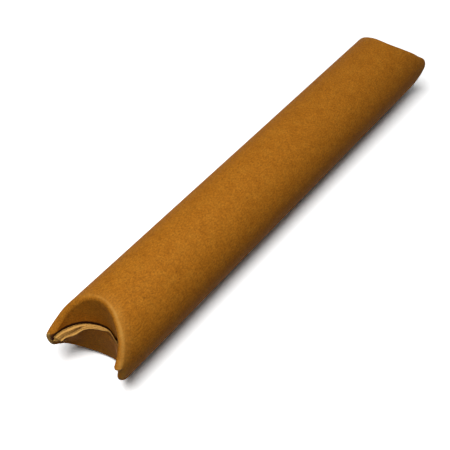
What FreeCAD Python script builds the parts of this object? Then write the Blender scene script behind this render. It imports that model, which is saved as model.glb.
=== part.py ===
import FreeCAD, Part
import math
import os
import Sketcher

# Crimp-ended mailing tube, wound and folded from one piece of kraft board.
# Millimetres, Z up. The tube's axis runs along Y, the end in full view is at -Y,
# and the origin lies on the floor under the middle of the tube.

driving = [
    ("bore_diameter", 38.1, "inside diameter of the wound tube"),
    ("wall_thickness", 2.03, "thickness of the wound board"),
    ("corner_length", 276.0, "length between the two pairs of crease corners"),
    ("crease_angle", 43.8, "lean of each crease plane from upright, degrees"),
    ("closure_roll", 5.8, "turn of both closures about the tube's axis, degrees"),
    ("fold_slack", 0.08, "spare room inside a fold, over the doubled board"),
    ("fold_seat", 0.03, "depth of the folds under the skins that they join"),
    ("corner_run_out", 8.0, "how far a fold runs on past its corner, degrees"),
    ("tip_reach", 1.6, "how far the cut tips stand out past the corners"),
    ("flap_side", 0.8, "how far the flaps' side edges stand out past the corners"),
    ("lap_height", 2.4, "height of the lower flap's cut edge over the middle"),
    ("tuck_depth", 2.2, "reach of the upper flap below the middle"),
    ("lap_clearance", 0.25, "gap between the two flaps where they lap"),
    ("hollow_half_width", 13.5, "half width of the lower flap's hollow at its edge"),
    ("hollow_depth", 13.4, "depth of the lower flap's hollow at its edge"),
    ("hollow_shift", 1.8, "sideways shift of that hollow, to the right"),
    ("ply_gap", 0.5, "opening between the loose plies of the lower flap"),
    ("ply_radius", 16.9, "radius of that opening in plan"),
    ("ply_shift", 3.4, "sideways shift of that opening, to the right"),
    ("ply_depth", 3.2, "depth of that opening below the cut edge"),
    ("ply_sweep", 38.0, "how far that opening runs round the edge, degrees"),
]

# Sizes that follow from the driving ones, as expressions
radius = "(Sizes.bore_diameter / 2 + Sizes.wall_thickness)"
fold = "(Sizes.wall_thickness + Sizes.fold_slack)"
slope = "tan(Sizes.crease_angle)"
spine = f"({radius} - {fold} - Sizes.fold_seat)"
face_width = f"({spine} - {fold} + Sizes.fold_seat)"
face_depth = f"({slope} * {spine} - {fold} + Sizes.fold_seat)"
reach = f"(3 * {radius})"
x_axis = "create(<<vector>>; 1; 0; 0)"
z_axis = "create(<<vector>>; 0; 0; 1)"

doc = FreeCAD.newDocument("mailing_tube")
sheet = doc.addObject("Spreadsheet::Sheet", "Sizes")
for row, (alias, value, meaning) in enumerate(driving, start=1):
    sheet.set(f"A{row}", meaning)
    sheet.set(f"B{row}", str(value))
    sheet.setAlias(f"B{row}", alias)
doc.recompute()


def point(x="0", y="0", z="0"):
    return f"create(<<vector>>; {x}; {y}; {z})"


def turn(axis, angle):
    return f"create(<<placement>>; {point()}; create(<<rotation>>; {axis}; {angle}))"


def shift(x="0", y="0", z="0"):
    return f"create(<<placement>>; {point(x, y, z)}; create(<<rotation>>; {z_axis}; 0))"


def make(kind, name, place=None, **bound):
    """An object whose sizes and placement are bound to expressions."""
    item = doc.addObject(kind, name)
    for size, expression in bound.items():
        item.setExpression(size, expression)
    if place:
        item.setExpression("Placement", place)
    return item


def boolean(kind, name, base, tool):
    """A cut, union or intersection of two objects, with its seams kept."""
    item = doc.addObject(kind, name)
    item.Base = base
    item.Tool = tool
    item.Refine = False
    return item


def cut(name, base, tool):
    return boolean("Part::Cut", name, base, tool)


def fuse(name, base, tool):
    return boolean("Part::Fuse", name, base, tool)


def leaning_block(name, lean, back="0", frame=None):
    """A block that fills the outer side of a plane through X, leaning from upright.

    The plane stands back from the corners by a distance along the axis.
    """
    corner = shift(f"-{reach}", f"-{reach}", f"-{reach}")
    place = f"{frame or shift()} * {shift(y=f'-({back})')} * {turn(x_axis, lean)} * {corner}"
    return make("Part::Box", name, place, Length=f"2 * {reach}", Width=reach, Height=f"2 * {reach}")


# Every end is built in its own frame: the origin midway between the two corners,
# Y into the tube and Z up. Side is 1 for what hangs from the top, -1 for the bottom.

def fold_section(end, name, place):
    """The fold's round section, drawn as three arcs, of which the first faces out.

    Point 1 of an arc is its start, 2 its end and 3 its centre.
    """
    sketch = doc.addObject("Sketcher::SketchObject", f"{end}_{name}_section")
    circle = Part.Circle(FreeCAD.Vector(), FreeCAD.Vector(0, 0, 1), 1)
    third = 2 * math.pi / 3
    arcs = [sketch.addGeometry(Part.ArcOfCircle(circle, i * third, (i + 1) * third)) for i in range(3)]
    for arc in arcs:
        sketch.addConstraint(Sketcher.Constraint("Coincident", arc, 3, -1, 1))
    for before, after in zip(arcs, arcs[1:] + arcs[:1]):
        sketch.addConstraint(Sketcher.Constraint("Coincident", before, 2, after, 1))
    radius_set = sketch.addConstraint(Sketcher.Constraint("Radius", arcs[0], 1))
    sketch.setExpression(f"Constraints[{radius_set}]", fold)
    sketch.setExpression("Placement", place)
    return sketch


def fold_bead(end, name, side):
    """The rounded fold: a round section carried along the curved crease.

    The crease is where the tube meets a plane through both corners, so it is
    half an ellipse, and the fold runs down it both ways from its middle. It
    runs on past each corner, is mitred to the other fold in the level plane
    through the corners, and is cut off square at the tips.
    """
    lie = f"{turn(x_axis, f'{side} * (90 - Sizes.crease_angle)')} * {turn(z_axis, '-90')}"
    depth = f"({spine} / cos(Sizes.crease_angle))"
    outward = f"{turn(x_axis, '90')} * {turn(z_axis, f'{side} * 30')}"
    section = fold_section(end, name, f"{lie} * {shift(x=f'-{depth}')} * {outward}")
    halves = []
    for half, start, stop in (("right", "90 - Sizes.corner_run_out", "180"),
                              ("left", "180", "270 + Sizes.corner_run_out")):
        crease = make("Part::Ellipse", f"{end}_{name}_{half}_crease", lie,
                      MajorRadius=depth, MinorRadius=spine, Angle1=start, Angle2=stop)
        sweep = doc.addObject("Part::Sweep", f"{end}_{name}_{half}_bead")
        sweep.Sections = [section]
        sweep.Spine = (crease, ["Edge1"])
        sweep.Solid = True
        sweep.Frenet = True
        halves.append(sweep)
    bead = fuse(f"{end}_{name}_bead", *halves)
    other_half = leaning_block(f"{end}_{name}_half", f"{side} * 90")
    past_tips = leaning_block(f"{end}_{name}_past", "0", "Sizes.tip_reach")
    return cut(f"{end}_{name}_fold", cut(f"{end}_{name}_mitre", bead, other_half), past_tips)


def ring(name, wide, deep, aside, height):
    """A level ellipse, given by its half width and its depth."""
    place = f"{shift(aside, '0', height)} * {turn(z_axis, f'({deep} > {wide} ? 90 : 0)')}"
    return make("Part::Ellipse", name, place,
                MajorRadius=f"max({wide}; {deep})", MinorRadius=f"min({wide}; {deep})")


def hollow(name, rings):
    """A solid bounded by straight lines between level ellipses."""
    loft = doc.addObject("Part::Loft", name)
    loft.Sections = [ring(f"{name}_ring{i}", *values) for i, values in enumerate(rings)]
    loft.Solid = True
    loft.Ruled = True
    return loft


def flap(end, name, side, back, front):
    """One end flap: a hollow shell that starts in its fold, trimmed inside the wall."""
    shell = cut(f"{end}_{name}_shell", hollow(f"{end}_{name}_back", back), hollow(f"{end}_{name}_front", front))
    room = make("Part::Cylinder", f"{end}_{name}_room",
                f"{shift(y='-Sizes.flap_side')} * {turn(x_axis, '-90')}",
                Radius=f"{radius} - Sizes.wall_thickness / 2", Height=reach)
    over = leaning_block(f"{end}_{name}_over", f"{-side} * atan({face_depth} / {spine})", "0")
    trimmed = cut(f"{end}_{name}_trim", room, over)
    return boolean("Part::Common", f"{end}_{name}_flap", shell, trimmed)


def upper_flap(end):
    """The flap from the top crease, which hangs upright behind the lower one."""
    outside = (f"{face_width} + Sizes.wall_thickness", f"{face_depth} + Sizes.wall_thickness", "0")
    inside = (face_width, face_depth, "0")
    return flap(
        end, "upper", 1,
        [(*outside, "-Sizes.tuck_depth"), (*outside, radius)],
        [(*inside, "-Sizes.tuck_depth - Sizes.wall_thickness"), (*inside, f"{radius} + Sizes.wall_thickness")],
    )


def lower_flap(end):
    """The flap from the bottom crease, which leans out in front of the upper one.

    Its plies come loose at the left corner, so it is thick there, and an
    opening runs down between them from the cut edge.
    """
    outside = (f"{face_width} + Sizes.wall_thickness", f"{face_depth} + Sizes.wall_thickness", "0")
    lapped = (f"{face_width} - Sizes.lap_clearance", f"{face_depth} - Sizes.lap_clearance", "0")
    inside = (face_width, face_depth, "0")
    leaned = ("Sizes.hollow_half_width", "Sizes.hollow_depth", "Sizes.hollow_shift")
    whole = flap(
        end, "lower", -1,
        [(*outside, f"-{radius}"), (*lapped, "-Sizes.tuck_depth"), (*lapped, "Sizes.lap_height")],
        [
            (*inside, f"-{radius} - Sizes.wall_thickness"),
            (*inside, f"-{radius}"),
            (*leaned, "Sizes.lap_height"),
            (*leaned, "Sizes.lap_height + Sizes.wall_thickness"),
        ],
    )
    place = (f"{shift('Sizes.ply_shift', '0', 'Sizes.lap_height - Sizes.ply_depth')}"
             f" * {turn(z_axis, '180 - Sizes.ply_sweep')}")
    sizes = {"Angle": "1.5 * Sizes.ply_sweep", "Height": "2 * Sizes.ply_depth"}
    wide = make("Part::Cylinder", f"{end}_ply_outside", place, Radius="Sizes.ply_radius + Sizes.ply_gap", **sizes)
    narrow = make("Part::Cylinder", f"{end}_ply_inside", place, Radius="Sizes.ply_radius", **sizes)
    return cut(f"{end}_lower_plies", whole, cut(f"{end}_ply_gap", wide, narrow))


def tube_wall():
    """The round wall, cut at each end along the lines where it runs into the folds."""
    length = f"(Sizes.corner_length + 2 * {radius})"
    place = f"{shift(y=f'-{length} / 2')} * {turn(x_axis, '-90')}"
    wall = cut(
        "wound_tube",
        make("Part::Cylinder", "wound_outside", place, Radius=radius, Height=length),
        make("Part::Cylinder", "wound_bore", place, Radius="Sizes.bore_diameter / 2", Height=length),
    )
    lean = f"atan({slope} * {spine} / {radius})"
    for end, frame in ends.items():
        for name, side in (("upper", -1), ("lower", 1)):
            beyond = leaning_block(f"{end}_{name}_mouth", f"{side} * {lean}", frame=frame)
            wall = cut(f"{end}_{name}_wall", wall, beyond)
    return wall


def placed(item, frame):
    item.setExpression("Placement", frame)
    return item


ends = {
    "near": shift(y="-Sizes.corner_length / 2"),
    "far": f"{shift(y='Sizes.corner_length / 2')} * {turn(z_axis, '180')}",
}
tube = tube_wall()
for end, frame in ends.items():
    upper = fuse(f"{end}_upper", fold_bead(end, "upper", 1), upper_flap(end))
    lower = fuse(f"{end}_lower", fold_bead(end, "lower", -1), lower_flap(end))
    tube = fuse(f"{end}_half_closed", tube, placed(upper, frame))
    tube = fuse(f"{end}_closed", tube, placed(lower, frame))
tube.Label = "mailing_tube"
tube.setExpression(
    "Placement",
    f"{shift(z=radius)} * create(<<placement>>; {point()};"
    " create(<<rotation>>; create(<<vector>>; 0; 1; 0); -Sizes.closure_roll))",
)
doc.recompute()

failed = [item.Name for item in doc.Objects if "Invalid" in item.State or "Error" in item.State]
if failed:
    raise RuntimeError(f"failed: {failed}")
if tube.Shape.isNull() or not tube.Shape.isValid() or len(tube.Shape.Solids) != 1:
    raise RuntimeError("the tube is not one sound solid")
for item in doc.Objects:
    if item.TypeId == "Part::Fuse" and item.Shape.Volume < item.Base.Shape.Volume + item.Tool.Shape.Volume / 2:
        raise RuntimeError(f"a piece was lost in {item.Name}")

os.makedirs("parts", exist_ok=True)
tube.Shape.exportStep(f"parts/{tube.Label}.step")
print(tube.Label, round(tube.Shape.Volume), "mm3", tube.Shape.BoundBox)
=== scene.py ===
import bpy
import bmesh
import math
import numpy as np
from mathutils import Matrix, Vector


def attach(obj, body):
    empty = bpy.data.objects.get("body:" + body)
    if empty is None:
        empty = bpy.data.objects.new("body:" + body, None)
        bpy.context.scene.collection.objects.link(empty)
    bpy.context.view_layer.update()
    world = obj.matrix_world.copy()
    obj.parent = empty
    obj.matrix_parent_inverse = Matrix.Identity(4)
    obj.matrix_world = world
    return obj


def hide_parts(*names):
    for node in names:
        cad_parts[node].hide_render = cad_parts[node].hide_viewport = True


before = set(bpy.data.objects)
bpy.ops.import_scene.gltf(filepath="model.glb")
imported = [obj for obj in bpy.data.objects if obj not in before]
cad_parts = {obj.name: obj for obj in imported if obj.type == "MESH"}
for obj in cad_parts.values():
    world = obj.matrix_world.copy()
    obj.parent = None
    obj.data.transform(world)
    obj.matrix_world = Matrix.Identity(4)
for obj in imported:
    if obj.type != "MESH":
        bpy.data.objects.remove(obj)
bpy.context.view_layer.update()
print("frame loaded")

mm = 0.001

# the tube's own sizes, in millimetres and degrees; a span says where along the crease
# something happens, in radians from the right corner (0) to the left one (3.14)
tube = {
    "outsideRadius": 21.08,
    "board": 2.03,                # thickness of the wound board
    "foldRadius": 2.11,           # outside radius of every fold
    "cornerLength": 276.0,        # between the two pairs of corners
    "creaseAngle": 43.8,
    "closureRoll": 5.8,           # turn of both closures about the tube's axis
    "tipStart": 0.9,              # where the tips begin to blunt, past the corners
    "tipReach": 1.6,              # how far they stand out at most
    "tipFill": 2.0,               # how far the left tip is pushed out towards that
    "tipFillSpan": (2.72, 3.04),
    "tipGap": 0.28,               # half the opening between the two folds at a tip
    "tipGapFull": 0.4,            # share of the way round the fold where it is that wide
    "cornerSet": 3.6,             # how much further in the crease runs out at the right
    "cornerSetSpan": (0.0, 1.05),
    "cornerLift": 4.5,            # and how much higher, in degrees about the axis
    "cornerLiftSpan": (0.0, 1.2),
    "farPull": 1.2,               # the far crease runs straighter: further in left of its middle
    "farPullSpan": (1.3, 1.9, 1.9, 2.5),
    "farFill": 1.0,               # and further out just before its left corner
    "farFillSpan": (2.3, 2.7, 2.75, 3.14),
    "unevenness": 0.10,           # depth of the hollows in the wall
    "hollowLength": 34.0,         # how far apart they are along it
    "hollowTurn": 1.1,            # and how often they come round it
}

# where each flap's cut edge stands, and the half ellipse that its trough closes up to there
upperFlap = {
    "edge": 2.2,                  # how far it reaches past the middle
    "edgeDip": 0.0,
    "frontSag": 0.0,
    "front": (16.86, 16.9, 0.0),  # half width, depth and sideways shift
    "back": (18.89, 18.9, 0.0),
    "sideReach": (-4.0, 0.8),     # past the level line through the corners, right and left
    "cornerFill": 0.0,
    "loosePly": 0.0,
    "frayed": 0.10,
}
lowerFlap = {
    "edge": 2.4,
    "edgeDip": 3.4,               # the edge runs this far down at the right
    "frontSag": 1.5,              # its front skin is this much shorter at the left
    "front": (13.4, 14.0, 2.0),
    "back": (16.45, 15.75, 0.0),
    "sideReach": (-4.0, 0.8),
    "cornerFill": 5.2,            # how far out the crease is pushed just below the right corner
    "loosePly": 2.6,              # depth of the opening between its plies
    "frayed": 0.16,
}

# what the flaps share
flaps = {
    "cornerFillSpan": (0.0, 0.46, 0.5, 1.4),
    "edgeDipSpan": (1.12, 1.44),
    "frontSagSpan": (2.3, 2.7, 2.7, 3.05),
    "thinSpan": (1.22, 1.77),     # where the lower flap's cut edge runs out to a thin one
    "thinEdge": 0.45,             # how thick it is there
    "lean": 1.2,                  # power with which the plan closes up down the flap
    "backLean": 0.35,             # share of the height in which the lower flap's back does
    "frayAlong": 14,
    "frayAside": 3,
}

# rows across a cut edge, from its front skin (0) to its back skin (1), and the opening
# between the plies among them
cutRows = {
    "split": 0.42,                # where the opening lies at the angle below
    "splitAngle": 2.3,
    "splitDrift": 0.12,           # how far it moves to the front with each radian
    "splitSpan": (2.15, 2.5),
    "lips": (-0.9, -0.16, -0.09, 0.0, 0.09, 0.16),      # the rows beside it
    "last": 0.93,
    "sunk": (-0.12, 0.0, 0.8, 1.0, 0.8, 0.0, -0.1),     # share of its depth, or mm proud
}

# rub, which is burnish and painted highlight in one, and painted shade: where round the fold (0 to
# 1), where along the crease, how many mm wide
wear = {
    "rubAndHighlightAt": 0.22,
    "rubAndHighlightWidth": 0.22,
    "rubAndHighlightLeft": 0.3,               # what is left of the rub and painted highlight at the left
    "rubAndHighlightSpan": (1.1, 2.0),
    "shadeUnderEdge": 0.55,           # painted shade on the lower flap, just under its cut edge
    "shadeUnderEdgeFade": (-1.1, -0.4),
    "lapWidth": (0.5, 1.4),       # the painted shade line on the upper flap, at the right and left
    "lapWidthSpan": (1.5, 2.3),
    "lapFade": 0.5,
    "lapSpan": (0.9, 1.4),
    "lapShadeRound": (0.45, 0.85),
    "tipPlies": 0.3,              # ply lines on the blunt tips, once round the fold
}

cells = {"across": 128, "crowding": 0.055, "wall": 48, "fold": 16, "flap": 34}
meshing = {"mergeWithin": 0.0005, "sharpFrom": 42}      # mm, degrees


# 0 up to the first value and 1 from the last one on, with a smooth rise between
def fadeIn(value, first, last):
    share = np.clip((value - first) / (last - first), 0, 1)
    return share * share * (3 - 2 * share)


# 1 up to the first value and 0 from the last one on
def fadeOut(value, first, last):
    return 1 - fadeIn(value, first, last)


# a smooth rise over the first two values and a fall over the last two
def swell(value, riseFrom, riseTo, fallFrom, fallTo):
    return fadeIn(value, riseFrom, riseTo) * fadeOut(value, fallFrom, fallTo)


# a smooth uneven field between about -1 and 1: the mean of five crossed sine waves
def ripple(u, v, seed):
    rng = np.random.default_rng(seed)
    waves, slow, fast = 5, 0.6, 2.6
    total = 0
    for _ in range(waves):
        fu, fv, phase = rng.uniform(slow, fast), rng.uniform(slow, fast), rng.uniform(0, 6.28)
        total = total + np.sin(fu * u + fv * v * rng.choice([-1, 1]) + phase)
    return total / waves


# the angle q of each column, from the right corner to the left one, closer together at both
acrossStep = np.linspace(0, 1, cells["across"] + 1)
acrossAngle = math.pi * (acrossStep - cells["crowding"] * np.sin(2 * math.pi * acrossStep))


# one skin of a fold: an arc of radius d carried along the curved crease, which is
# a (cos q, sin q, k sin q) for q from the right corner to the left one; square to it,
# the arc turns from the wall's outward direction to the flap's, and each row starts
# where the arc meets the level plane through the corners
def foldRows(flap, inner):
    a = tube["outsideRadius"] - tube["foldRadius"]
    k = math.tan(math.radians(tube["creaseAngle"]))
    d = tube["foldRadius"] - (tube["board"] if inner else 0)
    t = np.linspace(0, 1, cells["fold"] + 1)[:, None]
    gap = tube["tipGap"] * fadeIn(t, 0, tube["tipGapFull"])
    rise = d * np.sin(math.pi * t) * k / math.sqrt(1 + k * k)
    start = np.arcsin((gap - rise) / (a + d * np.cos(math.pi * t)))
    q = start + (1 - 2 * start / math.pi) * acrossAngle
    c, s = np.cos(q), np.sin(q)
    n1, n2 = np.sqrt(1 + (k * c) ** 2), np.sqrt((k * c) ** 2 + s * s)
    turn = t * np.arccos(np.clip(-k * c * c / n2, -1, 1))
    x = a * c + d * (np.cos(turn) * c - np.sin(turn) * k * s * c / n1)
    height = a * s + d * (np.cos(turn) * s + np.sin(turn) * k * c * c / n1)
    depth = k * a * s - d * np.sin(turn) / n1
    height[:, 0] = height[:, -1] = gap[:, 0]
    depth = depth + tube["cornerSet"] * fadeOut(acrossAngle, *tube["cornerSetSpan"])
    depth = depth - flap["cornerFill"] * swell(acrossAngle, *flaps["cornerFillSpan"])
    depth = depth - tube["tipFill"] * fadeIn(acrossAngle, *tube["tipFillSpan"])
    past = np.maximum(-depth - tube["tipStart"], 0)
    room = tube["tipReach"] - tube["tipStart"]
    blunt = -tube["tipStart"] - room * np.tanh(past / room)
    return x, height, np.where(past > 0, blunt, depth)


# how far the cut edge has run down at each angle q: all of it at the right, none at the left
def edgeFall(flap, q):
    return flap["edgeDip"] * fadeOut(q, *flaps["edgeDipSpan"])


# one skin of a flap, from the end of its fold to its cut edge: the plan closes up along
# straight lines from the fold's end to the half ellipse at the cut edge, and the height
# runs evenly from the one to the other
def flapRows(flap, inner, start):
    wide, deep, aside = flap["back" if inner else "front"]
    right, left = (math.asin(reach / deep) for reach in flap["sideReach"])
    q = -right + (1 + (right + left) / math.pi) * acrossAngle
    r = np.linspace(0, 1, cells["flap"] + 1)[1:, None]
    edgeX, edgeDepth = aside + wide * np.cos(q), deep * np.sin(q)
    edgeHeight = -flap["edge"] + edgeFall(flap, q)
    fray = ripple(flaps["frayAlong"] * q, flaps["frayAside"] * q, 5)
    edgeHeight = edgeHeight + flap["frayed"] * fray
    if not inner:
        edgeHeight = edgeHeight + flap["frontSag"] * swell(q, *flaps["frontSagSpan"])
    if not inner and flap is lowerFlap:
        # the band of cut board runs out to a thin edge at the right
        backWide, backDeep, backAside = flap["back"]
        thin = fadeOut(q, *flaps["thinSpan"])
        thinX = backAside + (backWide - flaps["thinEdge"]) * np.cos(q)
        thinDepth = (backDeep - flaps["thinEdge"]) * np.sin(q)
        edgeX = edgeX + (thinX - edgeX) * thin
        edgeDepth = edgeDepth + (thinDepth - edgeDepth) * thin
    lean = r ** flaps["lean"]
    if inner and flap is lowerFlap:
        lean = fadeIn(r, 0, flaps["backLean"])
    x = start[0] + (edgeX - start[0]) * lean
    depth = start[2] + (edgeDepth - start[2]) * lean
    height = start[1] + (edgeHeight - start[1]) * r
    return x, height, depth


# one skin of an end: the rows of its fold, then those of its flap
def endSkin(flap, inner):
    fold = np.stack(foldRows(flap, inner), -1)
    hanging = np.stack(flapRows(flap, inner, fold[-1].T), -1)
    return np.concatenate([fold, hanging])


# the band of cut board: straight lines from the front skin's edge to the back skin's,
# sunk in the middle where the plies have come apart; the share of that depth is given back too, for
# painted shade in the opening
def edgeRows(flap, front, back):
    q = acrossAngle
    split = cutRows["split"] - cutRows["splitDrift"] * (q - cutRows["splitAngle"])
    lips = np.array(cutRows["lips"])[:, None]
    place = np.where(lips < 0, split * (1 + lips), split + lips)
    place = np.concatenate([place, np.full((1, len(q)), cutRows["last"])])
    sunk = np.array(cutRows["sunk"])[:, None]
    opening = flap["loosePly"] * fadeIn(q, *cutRows["splitSpan"])
    drop = np.where(sunk > 0, sunk * opening, sunk)
    rows = front + (back - front) * place[..., None]
    rows[..., 1] = rows[..., 1] + drop
    return rows, place, np.clip(drop, 0, 1)


# an end's rows put in place: what is near the right corner is turned up about the axis,
# and the far end is the near one turned half round, with a straighter crease
def placeEnd(rows, side, far):
    x, z, depth = rows[..., 0], side * rows[..., 1], rows[..., 2]
    around = np.abs(np.arctan2(z, x))
    lift = math.radians(tube["cornerLift"]) * fadeOut(around, *tube["cornerLiftSpan"])
    x, z = x * np.cos(lift) - z * np.sin(lift), x * np.sin(lift) + z * np.cos(lift)
    if far:
        depth = depth + tube["farPull"] * swell(acrossAngle, *tube["farPullSpan"])
        depth = depth - tube["farFill"] * swell(acrossAngle, *tube["farFillSpan"])
        depth = np.maximum(depth, -tube["tipReach"])
    half = tube["cornerLength"] / 2
    turned = -1 if far else 1
    placed = np.stack([turned * x, turned * (depth - half), z], -1)
    return placed[:, ::-1] if far else placed


# the wall's rows: straight lines from the near fold to the far one, and on the outer skin
# drawn in a little by the uneven field, which fades out towards the ends and corners
def wallRows(near, far, side, inner):
    s = np.linspace(0, 1, cells["wall"] + 1)[1:-1, None, None]
    wall = near + (far - near) * s
    if inner:
        return wall
    along, aside = wall[..., 1] / tube["hollowLength"], side * acrossAngle * tube["hollowTurn"]
    hollow = tube["unevenness"] * (0.5 + 0.5 * ripple(along, aside, 3))
    hollow = hollow * np.sin(math.pi * s[..., 0]) ** 0.5 * np.sin(acrossAngle)
    shrink = 1 - hollow[..., None] / tube["outsideRadius"]
    return np.concatenate([wall[..., :1] * shrink, wall[..., 1:2], wall[..., 2:] * shrink], -1)


# marks on an end's outer skin: rub is a bell about one line along the fold, burnish and painted
# highlight in one, stronger at the right;
# painted shade lies under the lower flap's cut edge, and on the upper flap up to a line just above
# that edge
def endMarks(flap, outEnd):
    t = np.append(np.linspace(0, 1, cells["fold"] + 1), np.full(cells["flap"], 2.0))[:, None]
    rubAndHighlight = np.exp(-((t - wear["rubAndHighlightAt"]) / wear["rubAndHighlightWidth"]) ** 2)
    stronger = (1 - wear["rubAndHighlightLeft"]) * fadeOut(acrossAngle, *wear["rubAndHighlightSpan"])
    rubAndHighlight = rubAndHighlight * (wear["rubAndHighlightLeft"] + stronger)
    lapAt = lowerFlap["edge"] - edgeFall(lowerFlap, acrossAngle)
    if flap is lowerFlap:
        above = -outEnd[..., 1] - lapAt
        lapShade = wear["shadeUnderEdge"] * fadeIn(above, *wear["shadeUnderEdgeFade"])
    else:
        above = outEnd[..., 1] - lapAt
        narrow, broad = wear["lapWidth"]
        lapWidth = narrow + (broad - narrow) * fadeIn(acrossAngle, *wear["lapWidthSpan"])
        lapShade = fadeOut(above, lapWidth - wear["lapFade"], lapWidth)
        lapShade = lapShade * fadeIn(acrossAngle, *wear["lapSpan"])
    return rubAndHighlight, lapShade * fadeIn(t, *wear["lapShadeRound"]), wear["tipPlies"] * t


# half of the sheet as one closed loop of rows: outer skin, far edge, inner skin and
# near edge, with its rub (burnish and painted highlight), ply and painted shade marks
def sheetHalf(side, flap):
    outEnd, inEnd = endSkin(flap, False), endSkin(flap, True)
    outNear, outFar = placeEnd(outEnd, side, False), placeEnd(outEnd, side, True)
    inNear, inFar = placeEnd(inEnd, side, False), placeEnd(inEnd, side, True)
    band, place, openingShade = edgeRows(flap, outEnd[-1], inEnd[-1])
    parts = {
        "outNear": outNear[::-1],
        "outWall": wallRows(outNear[0], outFar[0], side, False),
        "outFar": outFar,
        "farBand": placeEnd(band, side, True),
        "inFar": inFar[::-1],
        "inWall": wallRows(inNear[0], inFar[0], side, True),
        "inNear": inNear,
        "nearBand": placeEnd(band, side, False)[::-1],
    }
    rows = np.concatenate(list(parts.values()))
    ends = np.cumsum([len(part) for part in parts.values()])
    at = {name: np.arange(end - len(part), end) for (name, part), end in zip(parts.items(), ends)}
    wornAndHighlight, lapShade, plies = endMarks(flap, outEnd)
    rubAndHighlight, ply, shade = (np.zeros(rows.shape[:2]) for _ in range(3))
    rubAndHighlight[at["outNear"]], rubAndHighlight[at["outFar"]] = wornAndHighlight[::-1], wornAndHighlight[:, ::-1]
    shade[at["outNear"]], shade[at["outFar"]] = lapShade[::-1], lapShade[:, ::-1]
    shade[at["nearBand"]], shade[at["farBand"]] = openingShade[::-1], openingShade[:, ::-1]
    ply[at["outNear"]], ply[at["outFar"]] = plies[::-1], plies
    ply[at["nearBand"]], ply[at["farBand"]] = place[::-1], place[:, ::-1]
    # the faces after these rows are cut board
    isCut = np.zeros(len(rows), bool)
    isCut[at["farBand"]] = isCut[at["outFar"][-1]] = True
    isCut[at["nearBand"]] = isCut[at["inNear"][-1]] = True
    # rows that bound the caps at the corners, from the wall to the cut edge
    caps = [
        (at["outNear"][::-1], at["inNear"], at["nearBand"][::-1]),
        (at["outFar"], at["inFar"][::-1], at["farBand"]),
    ]
    return rows, (rubAndHighlight, ply, shade), isCut, caps


# both halves joined to one closed sheet: each cell of the loops is a face, a strip caps
# every side edge at the corners, and all of it is rolled about the axis and set on the floor
def buildTube():
    points, marks, quads, cut, ngons = [], [], [], [], []
    base = 0
    for side, flap in ((1, upperFlap), (-1, lowerFlap)):
        rows, layers, isCut, caps = sheetHalf(side, flap)
        count, width = rows.shape[:2]
        index = base + np.arange(count * width).reshape(count, width)
        below = np.roll(index, -1, axis=0)
        loops = np.stack([index[:, :-1], index[:, 1:], below[:, 1:], below[:, :-1]], -1)
        quads.append(loops.reshape(-1, 4))
        cut.append(np.repeat(isCut, width - 1))
        for outer, inner, strip in caps:
            for column in (0, width - 1):
                o, i = index[outer, column], index[inner, column]
                quads.append(np.stack([o[:-1], o[1:], i[1:], i[:-1]], -1))
                cut.append(np.ones(len(o) - 1, bool))
                ngons.append([int(o[-1]), *index[strip, column].tolist(), int(i[-1])])
        points.append(rows.reshape(-1, 3))
        marks.append(np.stack([layer.reshape(-1) for layer in layers]))
        base += count * width
    points, quads, cut = np.concatenate(points), np.concatenate(quads), np.concatenate(cut)
    # the blunt tips show the cut board too
    tipFrom = tube["cornerLength"] / 2 + tube["tipStart"]
    cut = cut | np.all(np.abs(points[quads][..., 1]) > tipFrom, axis=1)
    slots = np.append(cut, np.ones(len(ngons), bool)).astype(np.int32)
    roll = math.radians(-tube["closureRoll"])
    rolled = np.stack([
        points[:, 0] * math.cos(roll) + points[:, 2] * math.sin(roll),
        points[:, 1],
        points[:, 2] * math.cos(roll) - points[:, 0] * math.sin(roll) + tube["outsideRadius"],
    ], -1)
    mesh = bpy.data.meshes.new("mailingTube")
    mesh.from_pydata((rolled * mm).tolist(), [], quads.tolist() + ngons)
    for name, values in zip(("rubAndHighlight", "ply", "shade"), np.concatenate(marks, axis=1)):
        layer = mesh.attributes.new(name, "FLOAT", "POINT")
        layer.data.foreach_set("value", values.astype(np.float32))
    mesh.polygons.foreach_set("material_index", slots)
    work = bmesh.new()
    work.from_mesh(mesh)
    bmesh.ops.remove_doubles(work, verts=work.verts, dist=meshing["mergeWithin"] * mm)
    bmesh.ops.recalc_face_normals(work, faces=work.faces)
    print("open edges:", sum(1 for edge in work.edges if not edge.is_manifold))
    work.to_mesh(mesh)
    work.free()
    mesh.polygons.foreach_set("use_smooth", np.ones(len(mesh.polygons), bool))
    mesh.set_sharp_from_angle(angle=math.radians(meshing["sharpFrom"]))
    piece = bpy.data.objects.new("mailingTube", mesh)
    bpy.context.scene.collection.objects.link(piece)
    return piece


# sRGB hex turned to linear
def hexColour(text):
    parts = [int(text[i:i + 2], 16) / 255 for i in (1, 3, 5)]
    return [v / 12.92 if v <= 0.04045 else ((v + 0.055) / 1.055) ** 2.4 for v in parts] + [1.0]


# an empty material
def newMaterial(name):
    material = bpy.data.materials.new(name)
    material.use_nodes = True
    material.node_tree.nodes.clear()
    return material


# a node with its settings, the values of its inputs, and links into them
def addNode(material, kind, settings=None, inputs=None, links=None):
    node = material.node_tree.nodes.new(kind)
    for key, value in (settings or {}).items():
        setattr(node, key, value)
    for key, value in (inputs or {}).items():
        node.inputs[key].default_value = value
    for key, source in (links or {}).items():
        material.node_tree.links.new(source, node.inputs[key])
    return node


# a ramp's stops, each a place and a hex colour
def setRamp(node, stops):
    ramp = node.color_ramp
    while len(ramp.elements) < len(stops):
        ramp.elements.new(0.5)
    for element, (position, colour) in zip(ramp.elements, stops):
        element.position = position
        element.color = hexColour(colour)


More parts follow.
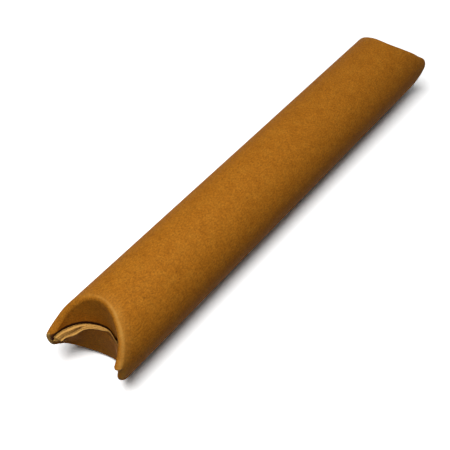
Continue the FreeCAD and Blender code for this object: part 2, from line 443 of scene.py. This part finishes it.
kraft = {
    "body": "#B16E1B",
    "dark": "#A96717",
    "light": "#B87620",
    # the worn colour is burnish on the folds and a painted highlight along them in one
    "wornAndHighlight": "#D49C4A",
    "speck": "#754612",
    "shade": "#3A1E0C",           # painted shade in the laps and under the lower flap's cut edge
    "roughness": 0.7,
    "gloss": 0.10,                # the faint glaze on the liner
    "mottle": 5.0,                # mm, cloudiness of the pulp
    "fibre": 0.7,                 # mm; real fibres are finer, drawn as coarse as it takes to show
    "fibreContrast": 0.34,
    "fleck": 4.0,                 # mm between dark flecks
    "fleckFade": (0.05, 0.10),    # from a fleck's middle to its rim, as a share of that
    "fleckStrength": 0.6,
    "fibreRelief": 0.12,          # mm
    "mottleRelief": 0.3,          # mm
}


def kraftBoard():
    # unbleached kraft liner, wound and machine glazed: brown, cloudy, full of short fibres
    material = newMaterial("kraftBoard")
    place = addNode(material, "ShaderNodeTexCoord").outputs["Object"]
    cloud = addNode(material, "ShaderNodeTexNoise", {},
                    {"Scale": 1000 / kraft["mottle"], "Detail": 5.0, "Roughness": 0.6},
                    {"Vector": place})
    base = addNode(material, "ShaderNodeValToRGB", links={"Fac": cloud.outputs["Fac"]})
    setRamp(base, [(0.30, kraft["dark"]), (0.5, kraft["body"]), (0.72, kraft["light"])])
    # the fibres lie mostly along the tube
    grain = addNode(material, "ShaderNodeMapping", {}, {"Scale": (1.0, 0.6, 1.0)}, {"Vector": place})
    fibre = addNode(material, "ShaderNodeTexNoise", {},
                    {"Scale": 1000 / kraft["fibre"], "Detail": 3.0, "Roughness": 0.7},
                    {"Vector": grain.outputs["Vector"]})
    fibreTone = addNode(material, "ShaderNodeMapRange", {},
                        {"From Min": 0.3, "From Max": 0.7,
                         "To Min": 1 - kraft["fibreContrast"], "To Max": 1 + kraft["fibreContrast"]},
                        {"Value": fibre.outputs["Fac"]})
    toned = addNode(material, "ShaderNodeVectorMath", {"operation": "SCALE"}, {},
                    {0: base.outputs["Color"], "Scale": fibreTone.outputs["Result"]})
    fleck = addNode(material, "ShaderNodeTexVoronoi", {}, {"Scale": 1000 / kraft["fleck"]},
                    {"Vector": grain.outputs["Vector"]})
    fleckMiddle, fleckRim = kraft["fleckFade"]
    isFleck = addNode(material, "ShaderNodeMapRange", {},
                      {"From Min": fleckMiddle, "From Max": fleckRim,
                       "To Min": kraft["fleckStrength"], "To Max": 0.0},
                      {"Value": fleck.outputs["Distance"]})
    flecked = addNode(material, "ShaderNodeMix", {"data_type": "RGBA"},
                      {7: hexColour(kraft["speck"])},
                      {"Factor": isFleck.outputs["Result"], 6: toned.outputs["Vector"]})
    # the rub, burnish and painted highlight in one, is patchy, as the pulp is
    rubAndHighlight = addNode(material, "ShaderNodeAttribute", {"attribute_name": "rubAndHighlight"})
    patchyRubAndHighlight = addNode(material, "ShaderNodeMath", {"operation": "MULTIPLY"}, {},
                     {0: rubAndHighlight.outputs["Fac"], 1: cloud.outputs["Fac"]})
    wornAndHighlight = addNode(material, "ShaderNodeMix", {"data_type": "RGBA"},
                   {7: hexColour(kraft["wornAndHighlight"])},
                   {"Factor": patchyRubAndHighlight.outputs["Value"], 6: flecked.outputs[2]})
    # painted shade in the laps and under the lower flap's cut edge
    shade = addNode(material, "ShaderNodeAttribute", {"attribute_name": "shade"})
    shaded = addNode(material, "ShaderNodeMix", {"data_type": "RGBA"},
                     {7: hexColour(kraft["shade"])},
                     {"Factor": shade.outputs["Fac"], 6: wornAndHighlight.outputs[2]})
    fine = addNode(material, "ShaderNodeBump", {},
                   {"Strength": 0.35, "Distance": kraft["fibreRelief"] * mm},
                   {"Height": fibre.outputs["Fac"]})
    soft = addNode(material, "ShaderNodeBump", {},
                   {"Strength": 0.3, "Distance": kraft["mottleRelief"] * mm},
                   {"Height": cloud.outputs["Fac"], "Normal": fine.outputs["Normal"]})
    shader = addNode(material, "ShaderNodeBsdfPrincipled", {},
                     {"Roughness": kraft["roughness"], "IOR": 1.45,
                      "Specular IOR Level": kraft["gloss"]},
                     {"Base Color": shaded.outputs[2], "Normal": soft.outputs["Normal"]})
    addNode(material, "ShaderNodeOutputMaterial", links={"Surface": shader.outputs["BSDF"]})
    return material


cutBoard = {
    "pale": "#D7A557",
    "deep": "#7A4A16",
    "shade": "#3A160C",           # painted shade inside the opening between the plies
    "roughness": 0.85,
    "gloss": 0.1,
    "plies": 3.0,                 # the board has more, drawn as coarse as it takes to show
    "plyContrast": 0.6,
    "hatch": 0.5,                 # mm between the torn fibres
    "relief": 0.3,                # mm
}


def cutEdge():
    # the raw cut through the wound board: paler pulp in thin glued plies, with torn fibres
    material = newMaterial("cutEdge")
    place = addNode(material, "ShaderNodeTexCoord").outputs["Object"]
    ply = addNode(material, "ShaderNodeAttribute", {"attribute_name": "ply"})
    wave = addNode(material, "ShaderNodeMath", {"operation": "MULTIPLY"},
                   {1: 2 * math.pi * cutBoard["plies"]}, {0: ply.outputs["Fac"]})
    line = addNode(material, "ShaderNodeMath", {"operation": "SINE"}, {}, {0: wave.outputs["Value"]})
    hatch = addNode(material, "ShaderNodeTexNoise", {},
                    {"Scale": 1000 / cutBoard["hatch"], "Detail": 3.0, "Roughness": 0.7},
                    {"Vector": place})
    lineTone = addNode(material, "ShaderNodeMapRange", {},
                       {"From Min": -1.0, "From Max": 1.0,
                        "To Min": 0.0, "To Max": cutBoard["plyContrast"]},
                       {"Value": line.outputs["Value"]})
    tone = addNode(material, "ShaderNodeMath", {"operation": "ADD"}, {},
                   {0: hatch.outputs["Fac"], 1: lineTone.outputs["Result"]})
    ramp = addNode(material, "ShaderNodeValToRGB", links={"Fac": tone.outputs["Value"]})
    setRamp(ramp, [(0.42, cutBoard["deep"]), (0.82, cutBoard["pale"])])
    # painted shade in the opening between the plies
    shade = addNode(material, "ShaderNodeAttribute", {"attribute_name": "shade"})
    shaded = addNode(material, "ShaderNodeMix", {"data_type": "RGBA"},
                     {7: hexColour(cutBoard["shade"])},
                     {"Factor": shade.outputs["Fac"], 6: ramp.outputs["Color"]})
    torn = addNode(material, "ShaderNodeBump", {},
                   {"Strength": 0.7, "Distance": cutBoard["relief"] * mm},
                   {"Height": tone.outputs["Value"]})
    shader = addNode(material, "ShaderNodeBsdfPrincipled", {},
                     {"Roughness": cutBoard["roughness"], "Specular IOR Level": cutBoard["gloss"]},
                     {"Base Color": shaded.outputs[2], "Normal": torn.outputs["Normal"]})
    addNode(material, "ShaderNodeOutputMaterial", links={"Surface": shader.outputs["BSDF"]})
    return material


piece = buildTube()
piece.data.materials.append(kraftBoard())
piece.data.materials.append(cutEdge())
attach(piece, "root")
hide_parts("mailing_tube")
print("tube made:", len(piece.data.polygons), "faces")

# metres and watts
studio = {
    "keySize": 0.44,
    "keyPower": 4.4,
    "keyPlace": (0.068, -0.23, 0.65),
    "roomLight": 0.012,           # even light from the pale room
    "floorBounce": "#363636",     # what the floor throws back on the tube
    "floorGain": 1.8,             # the seen floor is burnt out to white, its shadow stays
    "floorHaze": 0.01,            # white added to the seen floor beside the tube
    "hazeFrom": 0.10,             # from the middle, where that begins to grow
    "hazeTo": 0.40,               # and where it is full white
    "floorHalf": 3.0,
}


# 1 for a ray that is seen, straight from the camera, in a gloss or through something clear
def seenRays(material):
    path = addNode(material, "ShaderNodeLightPath").outputs
    direct = addNode(material, "ShaderNodeMath", {"operation": "MAXIMUM"}, {},
                     {0: path["Is Camera Ray"], 1: path["Is Glossy Ray"]})
    seen = addNode(material, "ShaderNodeMath", {"operation": "MAXIMUM"}, {},
                   {0: direct.outputs["Value"], 1: path["Is Transmission Ray"]})
    return seen.outputs["Value"]


def paleFloor():
    # white paper sweep, burnt out as in a studio picture; only what sees it is so bright,
    # the light that it throws back on the tube is that of a grey floor
    material = newMaterial("paleFloor")
    seen = seenRays(material)
    colour = addNode(material, "ShaderNodeMix", {"data_type": "RGBA"},
                     {6: hexColour(studio["floorBounce"]), 7: [studio["floorGain"]] * 3 + [1.0]},
                     {"Factor": seen})
    place = addNode(material, "ShaderNodeTexCoord").outputs["Object"]
    away = addNode(material, "ShaderNodeVectorMath", {"operation": "LENGTH"}, {}, {0: place})
    haze = addNode(material, "ShaderNodeMapRange", {"interpolation_type": "SMOOTHSTEP"},
                   {"From Min": studio["hazeFrom"], "From Max": studio["hazeTo"],
                    "To Min": studio["floorHaze"], "To Max": 1.0},
                   {"Value": away.outputs["Value"]})
    strength = addNode(material, "ShaderNodeMath", {"operation": "MULTIPLY"}, {},
                       {0: seen, 1: haze.outputs["Result"]})
    diffuse = addNode(material, "ShaderNodeBsdfDiffuse", links={"Color": colour.outputs[2]})
    glow = addNode(material, "ShaderNodeEmission", links={"Strength": strength.outputs["Value"]})
    both = addNode(material, "ShaderNodeAddShader", {}, {},
                   {0: diffuse.outputs["BSDF"], 1: glow.outputs["Emission"]})
    addNode(material, "ShaderNodeOutputMaterial", links={"Surface": both.outputs["Shader"]})
    return material


half = studio["floorHalf"]
floorCorners = [(-half, -half, 0), (half, -half, 0), (half, half, 0), (-half, half, 0)]
floorMesh = bpy.data.meshes.new("floor")
floorMesh.from_pydata(floorCorners, [], [(0, 1, 2, 3)])
floorMesh.materials.append(paleFloor())
floor = bpy.data.objects.new("floor", floorMesh)
bpy.context.scene.collection.objects.link(floor)

# the room is white to whatever sees it, and lights the tube only faintly
room = bpy.data.worlds.new("paleRoom")
bpy.context.scene.world = room
room.use_nodes = True
room.node_tree.nodes.clear()
level = addNode(room, "ShaderNodeMapRange", {}, {"To Min": studio["roomLight"], "To Max": 1.0},
                {"Value": seenRays(room)})
air = addNode(room, "ShaderNodeBackground", {}, {"Color": (1, 1, 1, 1)},
              {"Strength": level.outputs["Result"]})
addNode(room, "ShaderNodeOutputWorld", links={"Surface": air.outputs["Background"]})

lamp = bpy.data.lights.new("softbox", "AREA")
lamp.shape = "SQUARE"
lamp.size = studio["keySize"]
lamp.energy = studio["keyPower"]
key = bpy.data.objects.new("softbox", lamp)
key.location = studio["keyPlace"]
key.rotation_euler = (-Vector(studio["keyPlace"])).to_track_quat("-Z", "Y").to_euler()
bpy.context.scene.collection.objects.link(key)

# camera at the viewing angle of the picture, worked out from the tube's silhouette
view = {
    "place": (193.784, -294.257, 352.915),      # mm
    "forward": (-0.41361513, 0.55791269, -0.71948312),
    "right": (0.80331852, 0.59554963, 0.0),
    "up": (-0.4284879, 0.57797411, 0.69450993),
    "lens": 73.827,
    "sensor": 36.0,
    "nearest": 0.01,              # metres
}
cameraData = bpy.data.cameras.new("camera")
cameraData.lens = view["lens"]
cameraData.sensor_width = view["sensor"]
cameraData.clip_start = view["nearest"]
camera = bpy.data.objects.new("camera", cameraData)
axes = Matrix((view["right"], view["up"], [-v for v in view["forward"]])).transposed()
camera.matrix_world = Matrix.Translation(Vector(view["place"]) * mm) @ axes.to_4x4()
bpy.context.scene.collection.objects.link(camera)
bpy.context.scene.camera = camera
bpy.context.scene.view_settings.view_transform = "Standard"
print("stage, lights and camera placed")
